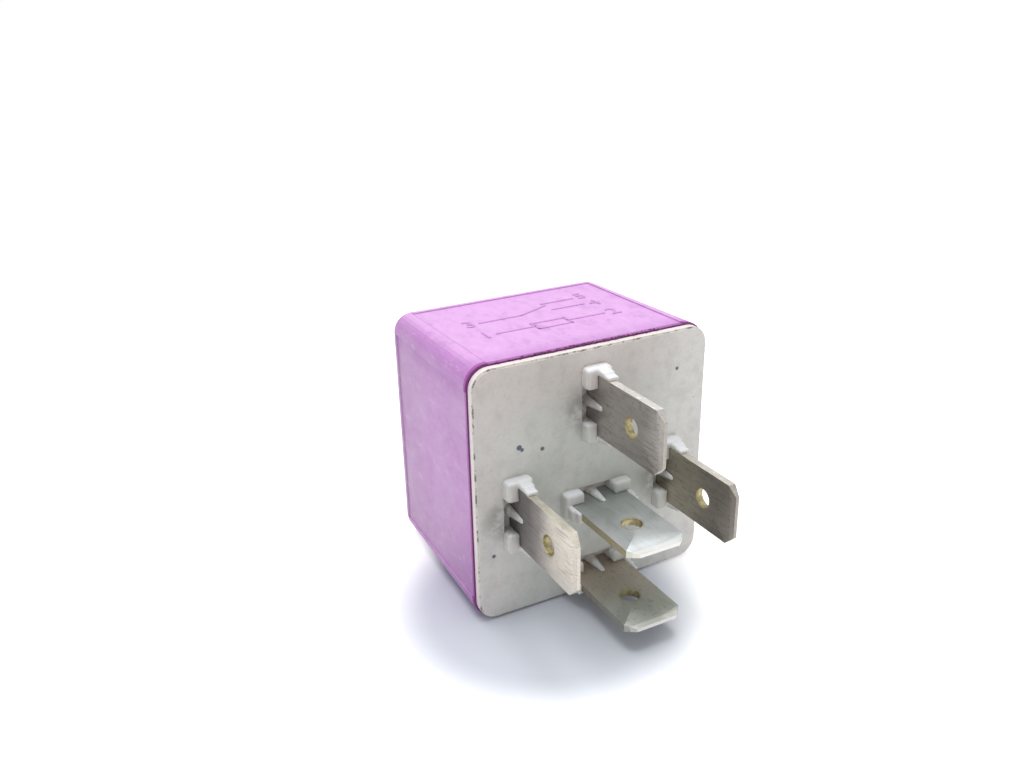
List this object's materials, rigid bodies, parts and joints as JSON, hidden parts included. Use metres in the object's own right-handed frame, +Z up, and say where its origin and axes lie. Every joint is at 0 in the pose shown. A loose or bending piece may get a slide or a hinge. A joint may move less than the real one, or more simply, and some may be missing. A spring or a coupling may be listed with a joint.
{
  "type": "automotive relay",
  "caption": "Cube-shaped plug-in changeover relay: violet cover, ivory base, flat quick-connect blades, and a hinged armature that switches its contacts.",
  "frame": {"origin": "under the middle of the whole part's box, at the level of the side it lies on", "axes": "+X across the base, +Y from the blade tips to the closed end, +Z up from the side it lies on"},
  "size_m": [0.0266, 0.0322, 0.027],
  "materials": {
    "cover_plastic": "moulded violet plastic, fine spark-eroded grain, satin",
    "base_plastic": "moulded ivory plastic, satin, slightly translucent",
    "tinned_blade": "tin-plated brass, dull and stained",
    "bright_blade": "tin-plated brass, bright, brass showing at the sheared edges",
    "zinc_iron": "zinc-plated soft iron",
    "former_plastic": "moulded black plastic",
    "enamelled_copper": "enamelled copper wire",
    "spring_bronze": "rolled spring bronze",
    "rivet_metal": "plated, turned",
    "contact_silver": "silver alloy, satin",
    "resistor_coat": "lacquered"
  },
  "bodies": {
    "case": {"cover": "cover_plastic", "base": "base_plastic", "terminal_30": "tinned_blade", "terminal_85": "tinned_blade", "terminal_86": "tinned_blade", "terminal_87": "tinned_blade", "terminal_87a": "bright_blade", "yoke": "zinc_iron", "core": "zinc_iron", "coil_former": "former_plastic", "coil_winding": "enamelled_copper", "coil_lead_85": "enamelled_copper", "coil_lead_86": "enamelled_copper", "yoke_rivets": "rivet_metal", "make_contact": "contact_silver", "break_contact": "contact_silver", "resistor_body": "resistor_coat", "resistor_leads": "rivet_metal"},
    "armature_plate": {"armature": "zinc_iron", "contact_spring": "spring_bronze", "armature_rivets": "rivet_metal", "moving_contact": "contact_silver"}
  },
  "joints": [
    {"name": "armature_pivot", "type": "hinge", "parent": "case", "child": "armature_plate", "pos_m": [0, 0.00958, 0.02295], "axis": [-1, 0, 0], "range_deg": [0, 2.58], "stiffness_Nm_per_rad": 0.04, "springref_deg": -5.73, "deforming": ["contact_spring"]}
  ]
}
